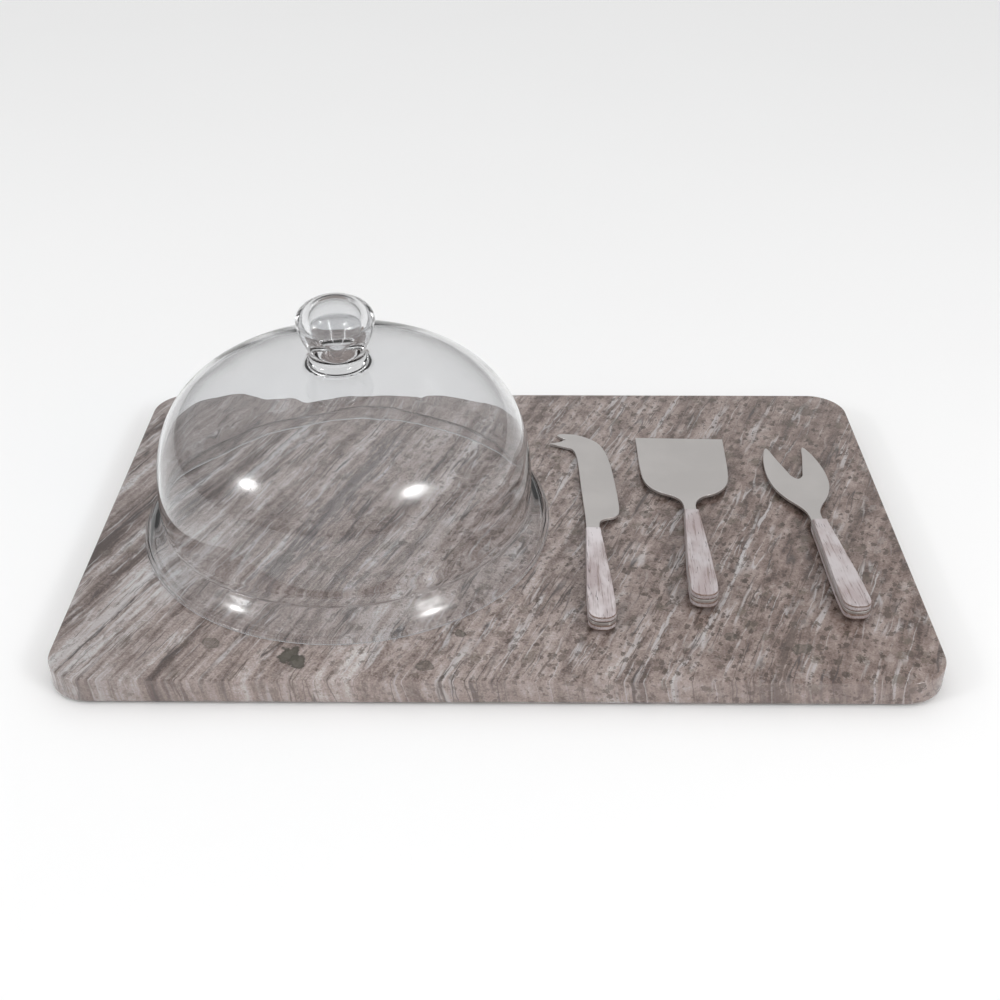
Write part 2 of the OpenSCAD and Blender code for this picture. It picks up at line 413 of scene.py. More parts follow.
@dataclass(frozen=True)
class Marble:
    """Polished taupe marble with linear veins, mottling and olive specks.

    The pattern is set out in mm, across and along the grain.
    """

    grain_angle: float = 67.0
    tones: tuple[tuple[float, Colour], ...] = (
        (0.14, (0.078, 0.056, 0.05)),
        (0.3, (0.148, 0.111, 0.1)),
        (0.5, (0.288, 0.231, 0.21)),
        (0.7, (0.42, 0.362, 0.342)),
        (0.9, (0.57, 0.55, 0.54)),
    )
    browner: Colour = (0.7, 0.645, 0.62)
    darker: Colour = (0.76, 0.765, 0.775)
    # The side tone and its share below are painted light: a flat, paler tone on the side
    # faces, by the way they face.
    painted_side_tone: Colour = (0.36, 0.3, 0.283)
    painted_side_share: float = 0.22
    roughness: float = 0.15
    broad: Streaks = Streaks(13.0, 28.0, 3.0, 3.0)
    lines: Streaks = Streaks(4.2, 18.0, 3.0, 7.0)
    hairs: Streaks = Streaks(1.5, 12.0, 2.0, 11.0)
    cloud_size: float = 9.0
    crystal_size: float = 1.2
    blot_size: float = 7.0
    blot_length: float = 15.0
    threads: tuple[Thread, ...] = (
        Thread(Streaks(9.0, 16.0, 2.0, 21.0), MILK, 0.6),
        Thread(Streaks(6.0, 16.0, 2.0, 37.0), UMBER, 0.75),
        Thread(Streaks(13.0, 16.0, 2.0, 53.0), MILK, 0.55),
        Thread(Streaks(10.0, 16.0, 2.0, 71.0), SOOT, 0.8),
    )
    veins: tuple[Vein, ...] = (
        Vein(-155.0, 1.3, 0.85, SOOT, -220.0, -135.0),
        Vein(-160.0, 4.0, 0.5, MILK, -230.0, -120.0),
        Vein(-150.5, 1.6, 0.55, MILK, -230.0, -120.0),
        Vein(-172.0, 2.0, 0.5, UMBER, -200.0, 60.0),
        Vein(-190.0, 2.6, 0.55, SOOT, -120.0, 60.0),
        Vein(-164.0, 1.8, 0.6, SOOT, -60.0, 90.0),
        Vein(-162.0, 3.0, 0.6, MILK, -40.0, 60.0),
        Vein(-96.0, 9.0, 0.55, SLATE, -120.0, 60.0),
        Vein(-59.0, 1.3, 0.7, SOOT, -100.0, 70.0),
        Vein(-140.0, 2.0, 0.4, MILK, -220.0, -80.0),
        Vein(37.0, 2.2, 0.55, MILK, -200.0, -120.0),
        Vein(26.0, 1.4, 0.5, MILK, 30.0, 190.0),
        Vein(129.0, 1.7, 0.6, MILK, -110.0, -40.0),
        Vein(119.0, 2.0, 0.5, MILK, -140.0, -60.0),
        Vein(152.0, 1.4, 0.65, MILK, -60.0, 90.0),
        Vein(149.0, 3.0, 0.6, MILK, -150.0, -100.0),
        Vein(60.0, 1.6, 0.55, MILK, 90.0, 200.0),
        Vein(94.0, 2.2, 0.45, MILK, 60.0, 190.0),
        Vein(197.0, 4.5, 0.6, UMBER, -160.0, -20.0),
        Vein(78.0, 4.0, 0.35, UMBER, 40.0, 200.0),
        Vein(205.0, 3.0, 0.35, UMBER, 20.0, 180.0),
    )
    pebbles: tuple[Pebble, ...] = (
        Pebble(-111.0, -131.0, 6.5, 1.0),
        Pebble(-106.0, -136.0, 5.0, 1.0),
        Pebble(-155.0, -122.0, 4.6, 0.5),
        Pebble(-20.0, -113.0, 3.6, 0.75),
        Pebble(-38.0, -140.0, 4.2, 0.55),
        Pebble(128.0, -115.0, 4.0, 0.5),
        Pebble(164.0, -124.0, 5.5, 0.6),
        Pebble(77.0, 3.0, 4.0, 0.4),
        Pebble(91.0, 2.0, 3.6, 0.5),
        Pebble(-125.0, -43.0, 5.0, 0.4),
        Pebble(-156.0, -8.0, 4.5, 0.3),
        Pebble(211.0, 131.0, 7.0, 0.4),
        Pebble(203.0, 138.0, 5.0, 0.3),
    )
    speckles: tuple[Speckle, ...] = (
        Speckle(10.0, 0.35, 0.27, 1.2, 0.75, (0.11, 0.092, 0.07), 0.0),
        Speckle(5.4, 0.5, 0.29, 1.3, 0.95, (0.08, 0.06, 0.047), 3.0),
        Speckle(3.1, 0.34, 0.34, 1.6, 1.0, (0.055, 0.038, 0.03), 7.0),
        Speckle(1.9, 0.2, 0.36, 1.6, 0.8, (0.06, 0.045, 0.038), 17.0),
        Speckle(6.0, 0.35, 0.3, 1.8, 0.3, (0.42, 0.385, 0.37), 11.0),
    )

    def material(self) -> bpy.types.Material:
        """Return the marble as a material."""
        r = Recipe("taupe_marble")
        x, y, z = (side * 1000 for side in r.place())
        here = r.point(x, y, z)
        across, along = self._grain(r, x, y, z)

        broad, lines, hairs = (
            self._streaks(r, across, along, z, streaks)
            for streaks in (self.broad, self.lines, self.hairs)
        )
        clouds = r.noise(here, 1 / self.cloud_size, 3.0, 0.6)
        crystal = r.noise(here, 1 / self.crystal_size, 3.0, 0.65)
        blot = r.point(
            across / self.blot_size, along / self.blot_length, z / self.blot_size
        )
        blots = r.noise(blot, 1.0, 3.0, 0.62)
        rightward = r.ease(x, -200.0, 160.0)
        leftward = r.ease(x, -120.0, -230.0)
        tone = (
            0.5
            + (broad - 0.5) * (leftward * 0.7 + 1.25 - rightward * 0.4)
            + (lines - 0.5) * (leftward * 0.4 + 0.5 - rightward * 0.25)
            + (hairs - 0.5) * (0.25 - rightward * 0.1)
            + (clouds - 0.5) * (rightward * 0.2 + 0.35)
            + (blots - 0.5) * (rightward * 0.75 + 0.1)
            + (crystal - 0.5) * 0.6
        )
        colour = r.ramp(tone, self.tones)
        colour = r.blend(r.ease(x, -40.0, 190.0), colour, self.browner, "MULTIPLY")
        colour = r.blend(leftward, colour, self.darker, "MULTIPLY")
        colour = self._threads(r, colour, across, along, z)
        for vein in self.veins:
            colour = self._vein(r, colour, vein, across, along, hairs)
        colour, specks = self._speckled(r, colour, across, along, z, x)
        for pebble in self.pebbles:
            colour = self._pebble(r, colour, pebble, x, y, clouds)
        # Painted light: the slab's side faces are blended towards a flat, paler tone by the
        # way they face. This stands in for how the lit polished sides look.
        upward = r.split(r.node("ShaderNodeNewGeometry").outputs["Normal"])[2]
        side = r.ease(abs(upward), 0.95, 0.4)
        colour = r.blend(side * self.painted_side_share, colour, self.painted_side_tone)

        pits = r.ease(r.noise(here, 1.1, 2.0), 0.64, 0.74)
        shader = r.principled(
            Base_Color=colour,
            Roughness=self.roughness + (crystal - 0.5) * 0.12 + specks * 0.1,
            IOR=1.5,
            Normal=r.bump(0.5 - pits * 0.4 - specks * 0.12, 0.0001, 0.5),
        )
        return r.finish(shader.outputs[0])

    def _grain(self, r: Recipe, x: Value, y: Value, z: Value) -> tuple[Value, Value]:
        """Return the place across and along the grain, a little unsteady."""
        turn = math.radians(self.grain_angle)
        across = x * math.sin(turn) - y * math.cos(turn) + z * 0.15
        along = x * math.cos(turn) + y * math.sin(turn)
        sway = r.noise(r.point(across / 60, along / 110, z / 60), 1.0, 2.0)
        waver = r.noise(r.point(across / 6, along / 11, z / 14), 1.0, 3.0, 0.6)
        across = across + (sway - 0.5) * 9.0 + (waver - 0.5) * 2.6
        return across, along

    @staticmethod
    def _streaks(
        r: Recipe,
        across: Value,
        along: Value,
        z: Value,
        streaks: Streaks,
    ) -> Value:
        """Return noise drawn out along the grain and nearly upright in depth."""
        fine = 1 / streaks.size
        at = r.point(
            across * fine,
            along * (fine / streaks.stretch),
            z * (0.06 * fine) + streaks.seed,
        )
        return r.noise(at, 1.0, streaks.detail, 0.6)

    def _threads(
        self,
        r: Recipe,
        colour: bpy.types.NodeSocket,
        across: Value,
        along: Value,
        z: Value,
    ) -> bpy.types.NodeSocket:
        """Return the colour with thin broken pale and dark lines over it."""
        for thread in self.threads:
            lines = self._streaks(r, across, along, z, thread.streaks)
            gaps = Streaks(14.0, 3.0, 2.0, thread.streaks.seed + 5)
            patch = self._streaks(r, across, along, z, gaps)
            line = r.ease(abs(lines - 0.5), 0.026, 0.0)
            shown = line * r.ease(patch, 0.47, 0.62) * thread.strength
            colour = r.blend(shown, colour, thread.colour)
        return colour

    @staticmethod
    def _vein(
        r: Recipe,
        colour: bpy.types.NodeSocket,
        vein: Vein,
        across: Value,
        along: Value,
        hairs: Value,
    ) -> bpy.types.NodeSocket:
        """Return the colour with one long vein over it."""
        edge = abs(across - vein.across) + (hairs - 0.5) * (vein.half_width * 5.0)
        line = r.ease(edge, vein.half_width, vein.half_width * 0.2)
        reach = r.ease(along, vein.start - 14.0, vein.start + 14.0) * r.ease(
            along, vein.end + 14.0, vein.end - 14.0
        )
        return r.blend(line * reach * vein.strength, colour, vein.colour)

    def _speckled(
        self,
        r: Recipe,
        colour: bpy.types.NodeSocket,
        across: Value,
        along: Value,
        z: Value,
        x: Value,
    ) -> tuple[bpy.types.NodeSocket, Value]:
        """Return the colour with the speckles over it, and the dark ones."""
        crowd = r.ease(x, -190.0, 150.0) * 0.6 + 0.4
        ragged = r.node(
            "ShaderNodeTexNoise",
            inputs={"Vector": r.point(across, along, z), "Scale": 0.6, "Detail": 3.0},
        )
        dark: Value | float = 0.0
        for speckle in self.speckles:
            at = r.node(
                "ShaderNodeVectorMath",
                {"operation": "MULTIPLY_ADD"},
                {
                    0: ragged.outputs["Color"],
                    1: (1.0, 1.0, 1.0),
                    2: r.point(
                        across * (1 / speckle.spacing) + speckle.seed,
                        along * (1 / speckle.spacing / speckle.stretch),
                        z * (1 / speckle.spacing),
                    ),
                },
            )
            cell = r.node(
                "ShaderNodeTexVoronoi", inputs={"Vector": at.outputs[0], "Scale": 1.0}
            )
            pick = r.node("ShaderNodeSeparateColor", inputs={0: cell.outputs["Color"]})
            kept = r.ease(
                Value(r, pick.outputs[0]), 1.0 - speckle.share, 1.01 - speckle.share
            )
            spread = Value(r, pick.outputs[1]) * speckle.size + speckle.size * 0.5
            off = Value(r, cell.outputs["Distance"]) - spread
            body = r.ease(off, 0.02, -0.04) * kept * crowd
            rim = r.ease(abs(off), 0.04, 0.0) * kept * crowd
            colour = r.blend(body * (speckle.strength * 0.75), colour, speckle.colour)
            colour = r.blend(
                rim * (speckle.strength * 0.35),
                colour,
                tuple(0.6 * part for part in speckle.colour),
            )
            dark = body * speckle.strength + dark
        return colour, r.maths("MINIMUM", dark, 1.0)

    def _pebble(
        self,
        r: Recipe,
        colour: bpy.types.NodeSocket,
        pebble: Pebble,
        x: Value,
        y: Value,
        clouds: Value,
    ) -> bpy.types.NodeSocket:
        """Return the colour with one pebble over it."""
        dx = x - pebble.x
        dy = y - pebble.y
        off = r.maths("SQRT", dx * dx + dy * dy) + (clouds - 0.5) * (pebble.radius * 2.2)
        body = r.ease(off, pebble.radius, pebble.radius * 0.8)
        rim = r.ease(abs(off - pebble.radius * 0.85), pebble.radius * 0.2, 0.0)
        colour = r.blend(body * (pebble.strength * 0.85), colour, OLIVE)
        return r.blend(rim * pebble.strength * 0.6, colour, DARK_OLIVE)


@dataclass(frozen=True)
class BlownGlass:
    """Clear glass that lets the studio's lamps through to what it covers."""

    tint: Colour = (0.868, 0.873, 0.88)
    lamp_tint: Colour = (0.975, 0.99, 1.0)
    ior: float = 1.5

    def material(self) -> bpy.types.Material:
        """Return the glass as a material."""
        r = Recipe("blown_glass")
        x, y, z = r.place()
        seeds = r.noise(r.point(x, y, z * 0.4), 55.0, 1.0)
        glass = r.principled(
            Base_Color=self.tint,
            Roughness=0.0,
            IOR=self.ior,
            Transmission_Weight=1.0,
            Normal=r.bump(seeds, 0.0004, 0.12),
        )
        path = r.node("ShaderNodeLightPath")
        lamp = r.maths(
            "MAXIMUM",
            Value(r, path.outputs["Is Shadow Ray"]),
            Value(r, path.outputs["Is Diffuse Ray"]),
        )
        through = r.node("ShaderNodeBsdfTransparent", inputs={0: self.lamp_tint})
        both = r.node(
            "ShaderNodeMixShader",
            inputs={0: lamp, 1: glass.outputs[0], 2: through.outputs[0]},
        )
        return r.finish(both.outputs[0])


@dataclass(frozen=True)
class SatinSteel:
    """Satin stainless steel, brushed along the tool."""

    colour: Colour = (0.6, 0.575, 0.56)
    roughness: float = 0.42
    heading: float = 0.0

    def material(self) -> bpy.types.Material:
        """Return the steel as a material."""
        r = Recipe("satin_steel")
        x, y, z = r.place()
        turn = math.radians(self.heading)
        across = x * math.cos(turn) + y * math.sin(turn)
        along = y * math.cos(turn) - x * math.sin(turn)
        brushed = r.noise(r.point(across * 4200.0, along * 130.0, z * 900.0), 1.0, 3.0, 0.6)
        cloudy = r.noise(r.point(x, y, z), 38.0, 3.0)
        colour = r.blend(
            r.ease(cloudy, 0.35, 0.7),
            tuple(0.93 * c for c in self.colour),
            self.colour,
        )
        shader = r.principled(
            Base_Color=colour,
            Metallic=1.0,
            Roughness=self.roughness + (brushed - 0.5) * 0.12 + (cloudy - 0.5) * 0.1,
            Normal=r.bump(brushed, 0.00002, 0.35),
        )
        return r.finish(shader.outputs[0])


@dataclass(frozen=True)
class WhitewashedWood:
    """Wood with thin white paint worked into its grain and worn off its edges, and painted
    shade along the joint lines.
    """

    paint: Colour = (0.4, 0.335, 0.337)
    chalk: Colour = (0.52, 0.482, 0.49)
    grain: Colour = (0.17, 0.118, 0.098)
    # Brown for worn-off paint, and for the painted shade in the joint lines.
    bare_wood_and_shade: Colour = (0.13, 0.07, 0.04)
    nick: Colour = (0.04, 0.03, 0.027)
    heading: float = 0.0
    seed: float = 0.0

    def material(self) -> bpy.types.Material:
        """Return the wood as a material."""
        r = Recipe("whitewashed_wood")
        x, y, z = r.place()
        turn = math.radians(self.heading)
        across = x * math.cos(turn) + y * math.sin(turn) + self.seed
        along = y * math.cos(turn) - x * math.sin(turn)
        sway = r.noise(r.point(across * 30.0, along * 18.0, z * 60.0), 1.0, 2.0)
        across = across + (sway - 0.5) * 0.0024
        fibre = r.noise(r.point(across * 900.0, along * 34.0, z * 700.0), 1.0, 4.0, 0.65)
        fleck = r.noise(r.point(across * 1500.0, along * 110.0, z * 900.0), 1.0, 2.0, 0.6)
        patch = r.noise(r.point(across * 70.0, along * 32.0, z * 70.0), 1.0, 3.0, 0.6)
        colour = r.blend(r.ease(patch, 0.36, 0.66), self.paint, self.chalk)
        worn = r.ease(fibre, 0.5, 0.64) * r.ease(patch, 0.68, 0.44)
        colour = r.blend(worn * 0.6, colour, self.grain)
        nicks = r.ease(fleck, 0.64, 0.7)
        colour = r.blend(nicks * 0.8, colour, self.nick)
        wear_and_seam_shade = r.node("ShaderNodeAttribute", {"attribute_name": "wear_and_seam_shade"})
        edge = Value(r, wear_and_seam_shade.outputs["Fac"])
        # Brown band on the side faces near both edges: paint worn off at the outer edges,
        # and painted shade along the joint lines with the tang and under the handle.
        worn_and_shaded = r.ease(edge, 0.08, 0.5) * r.ease(fibre * 0.6 + patch * 0.4, 0.28, 0.5)
        colour = r.blend(worn_and_shaded * 0.9, colour, self.bare_wood_and_shade)
        shader = r.principled(
            Base_Color=colour,
            Roughness=0.56 + (fibre - 0.5) * 0.3,
            Normal=r.bump(fibre * 0.6 - nicks * 0.8 - worn * 0.3, 0.0003, 0.7),
        )
        return r.finish(shader.outputs[0])


@dataclass(frozen=True)
class ClearSilicone:
    """Soft clear silicone, slightly hazy."""

    tint: Colour = (0.86, 0.87, 0.86)

    def material(self) -> bpy.types.Material:
        """Return the silicone as a material."""
        r = Recipe("clear_silicone")
        x, y, z = r.place()
        haze = r.noise(r.point(x, y, z), 420.0, 3.0)
        shader = r.principled(
            Base_Color=r.blend(haze, self.tint, tuple(0.9 * c for c in self.tint)),
            Roughness=0.28 + (haze - 0.5) * 0.2,
            IOR=1.41,
            Transmission_Weight=0.6,
        )
        return r.finish(shader.outputs[0])


# ---- modelling by hand -------------------------------------------------------


class Bench:
    """The modelling operators, on one piece at a time."""

    @staticmethod
    def clear() -> None:
        """Leave edit mode and deselect everything."""
        if bpy.context.object and bpy.context.object.mode != "OBJECT":
            bpy.ops.object.mode_set(mode="OBJECT")
        bpy.ops.object.select_all(action="DESELECT")

    @classmethod
    def take(cls, piece: bpy.types.Object) -> None:
        """Make a piece the only selected one, and active."""
        cls.clear()
        piece.select_set(True)
        bpy.context.view_layer.objects.active = piece

    @classmethod
    def name(cls, name: str) -> bpy.types.Object:
        """Name the piece just added, apply its place, and return it."""
        piece = bpy.context.object
        piece.name = name
        piece.data.name = name
        cls.take(piece)
        bpy.ops.object.transform_apply(location=True, rotation=True, scale=True)
        return piece

    @classmethod
    def edit(cls, piece: bpy.types.Object, mode: str = "EDGE") -> None:
        """Open a piece in edit mode with nothing selected.

        Args:
            piece: the piece.
            mode: VERT, EDGE or FACE.
        """
        cls.take(piece)
        bpy.ops.object.mode_set(mode="EDIT")
        bpy.ops.mesh.select_mode(type=mode)
        bpy.ops.mesh.select_all(action="DESELECT")

    @staticmethod
    def pick_edges(
        piece: bpy.types.Object, wanted: Callable[[Vector, Vector], bool]
    ) -> None:
        """Select the edges whose two ends pass a test, in edit mode.

        Args:
            piece: the piece in edit mode.
            wanted: takes the two ends.
        """
        mesh = bmesh.from_edit_mesh(piece.data)
        for edge in mesh.edges:
            if wanted(edge.verts[0].co, edge.verts[1].co):
                edge.select_set(True)
        mesh.select_flush_mode()
        bmesh.update_edit_mesh(piece.data)

    @staticmethod
    def round_edges(width: float, segments: int) -> None:
        """Bevel the selected edges, in edit mode."""
        bpy.ops.mesh.bevel(
            offset=width, segments=segments, profile=0.5, affect="EDGES"
        )

    @classmethod
    def modify(cls, piece: bpy.types.Object, kind: str, **settings: object) -> None:
        """Add a modifier to a piece and apply it."""
        cls.take(piece)
        modifier = piece.modifiers.new(kind.lower(), kind)
        for key, value in settings.items():
            setattr(modifier, key, value)
        bpy.ops.object.modifier_apply(modifier=modifier.name)

    @classmethod
    def break_edges(cls, piece: bpy.types.Object, width: float, segments: int) -> None:
        """Round every sharp edge of a piece with a Bevel modifier."""
        cls.modify(
            piece,
            "BEVEL",
            width=width,
            segments=segments,
            limit_method="ANGLE",
            angle_limit=math.radians(60),
            use_clamp_overlap=True,
        )

    @classmethod
    def smooth(cls, piece: bpy.types.Object, degrees: float) -> None:
        """Shade a piece smooth, apart from edges sharper than an angle."""
        cls.take(piece)
        bpy.ops.object.shade_smooth_by_angle(angle=math.radians(degrees))

    @classmethod
    def merged_copy(cls, node: str, name: str) -> bpy.types.Object:
        """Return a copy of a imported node, welded, with whole flat faces.

        Args:
            node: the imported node.
            name: the new piece's name.
        """
        source = bpy.data.objects[node]
        piece = bpy.data.objects.new(name, source.data.copy())
        piece.data.name = name
        bpy.context.scene.collection.objects.link(piece)
        if "custom_normal" in piece.data.attributes:
            piece.data.attributes.remove(piece.data.attributes["custom_normal"])
        cls.edit(piece, "VERT")
        bpy.ops.mesh.select_all(action="SELECT")
        bpy.ops.mesh.remove_doubles(threshold=2e-6)
        bpy.ops.mesh.dissolve_limited(angle_limit=math.radians(0.4))
        bpy.ops.mesh.normals_make_consistent(inside=False)
        bpy.ops.object.mode_set(mode="OBJECT")
        piece.data.materials.clear()
        return piece


def dress(
    piece: bpy.types.Object,
    material: bpy.types.Material,
    body: str,
    nodes: Iterable[str] = (),
) -> None:
    """Give a piece its material, body and slot, and the nodes it stands for.

    Args:
        piece: the piece.
        material: its material.
        body: the body that it moves with.
        nodes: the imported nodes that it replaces.
    """
    piece.data.materials.clear()
    piece.data.materials.append(material)
    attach(piece, body)
    if nodes:
        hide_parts(*nodes)
    log.info("%s: %d faces", piece.name, len(piece.data.polygons))


# ---- sub-assemblies ----------------------------------------------------------


@dataclass
class ServingBoard:
    """The marble slab and the four bumpers under it."""

    corner_radius: float = 24 * MM
    edge_ease: float = 1.3 * MM
    bumper_edge: float = 0.9 * MM
    finish: Marble = field(default_factory=Marble)
    feet: tuple[str, ...] = (
        "foot_front_left",
        "foot_front_right",
        "foot_back_left",
        "foot_back_right",
    )

    def build(self) -> None:
        """Model and dress the slab and the bumpers."""
        dress(self.slab(), self.finish.material(), "board", ["marble_board"])
        silicone = ClearSilicone().material()
        for node in self.feet:
            dress(self.bumper(node), silicone, "board", [node])

    def slab(self) -> bpy.types.Object:
        """Return the slab: round corners in plan, and eased top and bottom edges."""
        low, high = (Vector(corner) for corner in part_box("marble_board"))
        Bench.clear()
        bpy.ops.mesh.primitive_cube_add(
            size=1, location=(low + high) / 2, scale=high - low
        )
        slab = Bench.name("marble_slab")
        Bench.edit(slab)
        Bench.pick_edges(slab, lambda a, b: abs(a.z - b.z) > (high.z - low.z) / 2)
        Bench.round_edges(self.corner_radius, 20)
        bpy.ops.mesh.select_all(action="DESELECT")
        Bench.pick_edges(slab, lambda a, b: abs(a.z - b.z) < 1e-6)
        Bench.round_edges(self.edge_ease, 4)
        bpy.ops.object.mode_set(mode="OBJECT")
        Bench.smooth(slab, 30)
        return slab

    def bumper(self, node: str) -> bpy.types.Object:
        """Return one bumper: a low disc with a rounded lower edge."""
        low, high = (Vector(corner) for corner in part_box(node))
        radius = (high.x - low.x) / 2
        Bench.clear()
        bpy.ops.mesh.primitive_cylinder_add(
            vertices=48, radius=radius, depth=high.z - low.z, location=(low + high) / 2
        )
        bumper = Bench.name("bumper_" + node.removeprefix("foot_"))
        Bench.edit(bumper)
        Bench.pick_edges(bumper, lambda a, b: max(a.z, b.z) < low.z + 1e-6)
        Bench.round_edges(self.bumper_edge, 5)
        bpy.ops.object.mode_set(mode="OBJECT")
        Bench.smooth(bumper, 40)
        return bumper


@dataclass
class GlassDome:
    """The blown dome and its knob, fused into one piece of glass with a bubble.

    Heights run from the rim. The wall above the crease is a third-power ellipse.
    The outer wall only wavers inwards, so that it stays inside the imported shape.
    """

    flare_height: float = 17 * MM
    wall_radius: float = 111.3 * MM
    wall: float = 3.0 * MM
    knob_foot: float = 18.5 * MM
    fillet: float = 3.5 * MM
    knob_waist: float = 16 * MM
    waist_rise: float = 5 * MM
    neck_rise: float = 20.5 * MM
    knob_crown: float = 13 * MM
    pad_radius: float = 14 * MM
    pad_depth: float = 0.8 * MM
    bulge: float = 2 / 3
    bubble_radius: float = 18.6 * MM
    bubble_waist: float = 9.5 * MM
    bubble_floor: float = 3.0 * MM
    bubble_roof: float = 4.2 * MM
    crease: float = 0.7 * MM
    crease_reach: float = 2.0 * MM
    inner_crease_share: float = 0.2
    waver: float = 0.85 * MM
    outer_waver_share: float = 0.25
    ripple: float = 0.11 * MM
    flute: float = 0.12 * MM
    flute_rise: float = 4 * MM
    flute_reach: float = 9 * MM
    calm_radius: float = 26 * MM
    calm_reach: float = 30 * MM
    calm_rim: float = 15 * MM
    turns: int = 300
    finish: BlownGlass = field(default_factory=BlownGlass)

    def build(self) -> None:
        """Model and dress the glass."""
        dress(
            self.bell(),
            self.finish.material(),
            "dome",
            ["dome_shell", "dome_knob"],
        )

    def crown(self, radius: float, height: float, stop: float, steps: int) -> list[Vector]:
        """Return the wall above the crease, up to where it reaches a radius.

        Args:
            radius: the wall's radius at the crease.
            height: the crown's height above the crease.
            stop: the radius to stop at.
            steps: how many stretches to draw it in.
        """
        last = math.acos((stop / radius) ** (1 / self.bulge))
        points = []
        for i in range(steps + 1):
            angle = last * i / steps
            points.append(
                Vector(
                    (
                        radius * math.cos(angle) ** self.bulge,
                        0.0,
                        self.flare_height + height * math.sin(angle) ** self.bulge,
                    )
                )
            )
        return points

    @staticmethod
    def curve(points: Iterable[tuple[float, float]], steps: int) -> list[Vector]:
        """Return a cubic curve through a plane of radius and height.

        Args:
            points: its two ends and the two handles between them.
            steps: how many stretches to draw it in.
        """
        a, b, c, d = (Vector((x, 0.0, z)) for x, z in points)
        drawn = []
        for i in range(steps + 1):
            t = i / steps
            s = 1 - t
            drawn.append(s**3 * a + 3 * s * s * t * b + 3 * s * t * t * c + t**3 * d)
        return drawn

    def flare(self, wall: float, rim: float, lip: float) -> list[Vector]:
        """Return the flare from the lip up to the crease: a low rounded shoulder.

        Args:
            wall: the wall's radius at the crease.
            rim: the flare's radius at the lip.
            lip: the height of the lip's middle.
        """
        return self.curve(
            (
                (rim, lip),
                (rim - 0.3 * MM, lip + 5.5 * MM),
                (wall + 4.0 * MM, self.flare_height - 2.6 * MM),
                (wall, self.flare_height),
            ),
            28,
        )

    def profile(self, rim: float, crown_top: float, knob_radius: float) -> list[Vector]:
        """Return the section of the glass, from the knob's top round to the pad.

        Args:
            rim: the rim's radius.
            crown_top: the height of the crown under the knob.
            knob_radius: the knob's largest radius.
        """
        flare, wall = self.flare_height, self.wall_radius
        lip = (self.wall + 0.2 * MM) / 2
        inner = wall - self.wall
        seat = (1 - (self.knob_foot / wall) ** 3) ** (1 / 3)
        height = (crown_top - flare) / seat
        waist = crown_top + self.waist_rise
        wide = waist + self.neck_rise
        knob = [
            Vector(
                (
                    knob_radius * math.sin(math.radians(a)),
                    0.0,
                    wide + self.knob_crown * math.cos(math.radians(a)),
                )
            )
            for a in range(0, 90, 3)
        ]
        neck = self.curve(
            (
                (knob_radius, wide),
                (knob_radius, waist + 0.55 * self.neck_rise),
                (self.knob_waist, waist + 0.2 * self.neck_rise),
                (self.knob_waist, waist),
            ),
            24,
        )
        outside = self.crown(wall, height, self.knob_foot + self.fillet, 60)[::-1]
        join = outside[0]
        slope = (outside[0] - outside[1]).normalized() * 3 * MM
        foot = self.curve(
            (
                (self.knob_waist, waist),
                (self.knob_waist, crown_top + 0.35 * self.waist_rise),
                (join.x + slope.x, join.z + slope.z),
                (join.x, join.z),
            ),
            20,
        )
        outer_flare = self.flare(wall, rim, lip)[::-1]
        round_lip = [
            Vector(
                (
                    rim - lip + lip * math.cos(math.radians(a)),
                    0.0,
                    lip - lip * math.sin(math.radians(a)),
                )
            )
            for a in range(15, 180, 15)
        ]
        inner_flare = self.flare(inner, rim - 2 * lip, lip)
        inside = self.crown(inner, height - self.wall, self.pad_radius, 60)
        pad = inside[-1].z - self.pad_depth
        return [
            *knob,
            *neck,
            *foot[1:],
            *outside[1:],
            *outer_flare[1:],
            *round_lip,
            *inner_flare,
            *inside[1:],
            Vector((self.pad_radius - 0.25 * MM, 0.0, pad + 0.4 * MM)),
            Vector((self.pad_radius - 1.2 * MM, 0.0, pad)),
            Vector((0.0, 0.0, pad)),
        ]

    def bell(self) -> bpy.types.Object:
        """Return the glass: its section spun round, with a hand-blown unevenness."""
        low, high = (Vector(corner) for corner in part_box("dome_shell"))
        knob_low, knob_high = (Vector(corner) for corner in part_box("dome_knob"))
        axis = Vector(((low.x + high.x) / 2, (low.y + high.y) / 2, low.z))
        section = self.profile(
            (high.x - low.x) / 2, high.z - low.z, (knob_high.x - knob_low.x) / 2
        )
        Bench.clear()
        bpy.ops.mesh.primitive_circle_add(vertices=len(section), radius=0.1)
        bell = Bench.name("glass_bell")
        for vertex, point in zip(bell.data.vertices, section):
            vertex.co = axis + point
        Bench.edit(bell)
        Bench.pick_edges(
            bell,
            lambda a, b: max((p - axis).xy.length for p in (a, b)) < 1e-7,
        )
        bpy.ops.mesh.delete(type="EDGE")
        bpy.ops.mesh.select_all(action="SELECT")
        bpy.ops.mesh.spin(
            steps=self.turns, angle=math.tau, center=axis, axis=(0, 0, 1)
        )
        bpy.ops.mesh.select_all(action="SELECT")
        bpy.ops.mesh.remove_doubles(threshold=1e-6)
        bpy.ops.mesh.normals_make_consistent(inside=False)
        bpy.ops.object.mode_set(mode="OBJECT")
        self.unevenness(bell, axis)
        bubble = self.bubble(axis + Vector((0, 0, high.z - low.z)), knob_high.z)
        Bench.take(bell)
        bubble.select_set(True)
        bpy.ops.object.join()
        bpy.ops.object.shade_smooth()
        return bell

